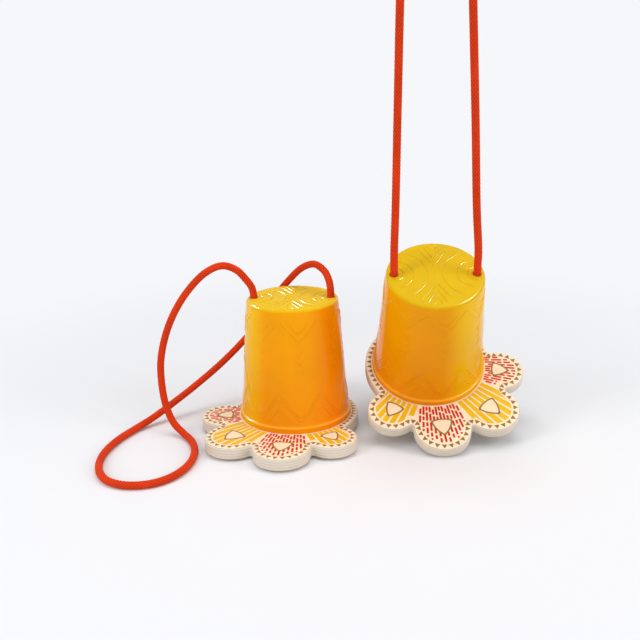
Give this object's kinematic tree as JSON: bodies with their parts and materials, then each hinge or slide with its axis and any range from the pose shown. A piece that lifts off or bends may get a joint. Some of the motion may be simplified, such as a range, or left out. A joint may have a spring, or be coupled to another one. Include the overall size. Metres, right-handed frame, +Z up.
{
  "type": "cup stilts",
  "caption": "Child's cup stilts: moulded cups screwed to scalloped plywood paw feet with rubber pads, held up by knotted cord loops; the left stands flat, the right is tipped onto its toe.",
  "frame": {"origin": "on the floor under the middle of the pair's bounding box, cords left out", "axes": "+X from the left stilt to the right one, -Y the way the toes point, +Z up"},
  "size_m": [0.4088, 0.2127, 0.5794],
  "materials": {
    "cup": "glossy moulded yellow-orange plastic, slightly translucent",
    "plywood": "pale sanded plywood with a printed top",
    "rubber": "matt black foam rubber",
    "steel": "zinc-plated",
    "cord": "round braided cord"
  },
  "bodies": {
    "left_stilt": {"left_cup": "cup", "left_foot": "plywood", "left_toe_pad_1": "rubber", "left_toe_pad_2": "rubber", "left_toe_pad_3": "rubber", "left_toe_pad_4": "rubber", "left_heel_strip": "rubber", "left_screws": "steel", "left_cord": "cord", "left_knot_1": "cord", "left_knot_2": "cord"},
    "right_cord": {"right_cord": "cord"},
    "right_stilt": {"right_cup": "cup", "right_foot": "plywood", "right_toe_pad_1": "rubber", "right_toe_pad_2": "rubber", "right_toe_pad_3": "rubber", "right_toe_pad_4": "rubber", "right_heel_strip": "rubber", "right_screws": "steel", "right_knot_1": "cord", "right_knot_2": "cord"}
  },
  "joints": [
    {"name": "right_cord_lift", "type": "slide", "parent": "left_stilt", "child": "right_cord", "axis": [0, 0, 1], "range_m": [0, 0.15]},
    {"name": "right_stilt_swing", "type": "hinge", "parent": "right_cord", "child": "right_stilt", "pos_m": [0.067, -0.02694, 0.1709], "axis": [1, 0, 0], "range_deg": [-72, 18]}
  ]
}
